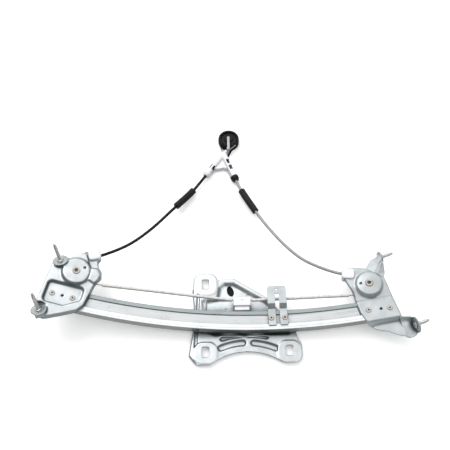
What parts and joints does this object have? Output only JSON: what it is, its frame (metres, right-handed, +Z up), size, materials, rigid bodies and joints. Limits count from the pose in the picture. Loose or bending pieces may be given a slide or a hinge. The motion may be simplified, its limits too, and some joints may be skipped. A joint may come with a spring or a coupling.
{
  "type": "window regulator",
  "caption": "Cable window regulator: a curved channel rail with end brackets and pulleys, a sliding glass carrier, and a drum that winds two sheathed cables.",
  "frame": {"origin": "middle of the base of the box round all solids but the two conduits and their sleeves", "axes": "+X along the rail towards the bracket with the side studs, +Y across the rail towards the drum, +Z up from the surface that it lies on, out of the web's face"},
  "size_m": [0.6114, 0.4479, 0.0961],
  "materials": {
    "zinc_plated_steel": "satin zinc plate",
    "stud_steel": "zinc plated",
    "rivet_steel": "plain",
    "white_plastic": "moulded",
    "black_plastic": "moulded",
    "black_rubber": "soft",
    "wire_rope": "greased",
    "clear_plastic": "translucent",
    "grey_plastic": "extruded",
    "dark_steel": "phosphated"
  },
  "bodies": {
    "frame": {"guide_rail": "zinc_plated_steel", "left_bracket": "zinc_plated_steel", "right_bracket": "zinc_plated_steel", "mid_bracket": "zinc_plated_steel", "left_bracket_rivets": "rivet_steel", "right_bracket_rivets": "rivet_steel", "mid_bracket_rivets": "rivet_steel", "left_upper_stud": "stud_steel", "left_lower_stud": "stud_steel", "right_upper_stud": "stud_steel", "right_lower_stud": "stud_steel", "left_pulley_rivet": "rivet_steel", "right_pulley_rivet": "rivet_steel", "left_conduit_socket": "white_plastic", "right_conduit_socket": "white_plastic", "left_cable_wrap": "wire_rope", "right_cable_wrap": "wire_rope", "left_conduit": "black_plastic", "right_conduit": "grey_plastic", "left_sleeve": "black_rubber", "right_sleeve": "black_rubber", "drum_guide": "white_plastic", "drum_keeper": "black_plastic", "left_spring": "dark_steel", "right_spring": "dark_steel", "left_guide_collar": "white_plastic", "right_guide_cap": "black_plastic", "left_cable_lead": "wire_rope", "right_cable_lead": "wire_rope"},
    "carrier": {"carrier_plate": "zinc_plated_steel", "left_slider": "white_plastic", "right_slider": "white_plastic", "cable_end_block": "white_plastic", "cable_nipples": "dark_steel", "left_cable_run": "wire_rope", "right_cable_run": "wire_rope", "left_cable_sheath": "clear_plastic", "right_cable_sheath": "clear_plastic"},
    "left_pulley": {"left_pulley": "white_plastic"},
    "right_pulley": {"right_pulley": "white_plastic"},
    "drum": {"drum": "black_plastic", "drum_windings": "wire_rope"}
  },
  "joints": [
    {"name": "carrier_travel", "type": "hinge", "parent": "frame", "child": "carrier", "pos_m": [0.0428, 0.59153, 0.77313], "axis": [0, -0.7071, 0.7071], "range_deg": [-10, 6.5], "deforming": ["left_cable_run", "left_cable_sheath", "right_cable_run", "right_cable_sheath"]},
    {"name": "left_pulley_spin", "type": "hinge", "parent": "frame", "child": "left_pulley", "pos_m": [-0.24364, -0.08518, 0.05562], "axis": [0.2009, -0.0206, 0.9794], "range_deg": [-700, 460]},
    {"name": "right_pulley_spin", "type": "hinge", "parent": "frame", "child": "right_pulley", "pos_m": [0.2191, -0.10725, 0.03755], "axis": [-0.1228, -0.0076, 0.9924], "range_deg": [-700, 460]},
    {"name": "drum_spin", "type": "hinge", "parent": "frame", "child": "drum", "pos_m": [0.0018, 0.205, 0.0023], "axis": [0, 0, 1], "range_deg": [-400, 610]}
  ],
  "couplings": [
    {"joint": "left_pulley_spin", "follows": "carrier_travel", "ratio": 67.089},
    {"joint": "right_pulley_spin", "follows": "carrier_travel", "ratio": 67.089},
    {"joint": "drum_spin", "follows": "carrier_travel", "ratio": -58.563}
  ]
}
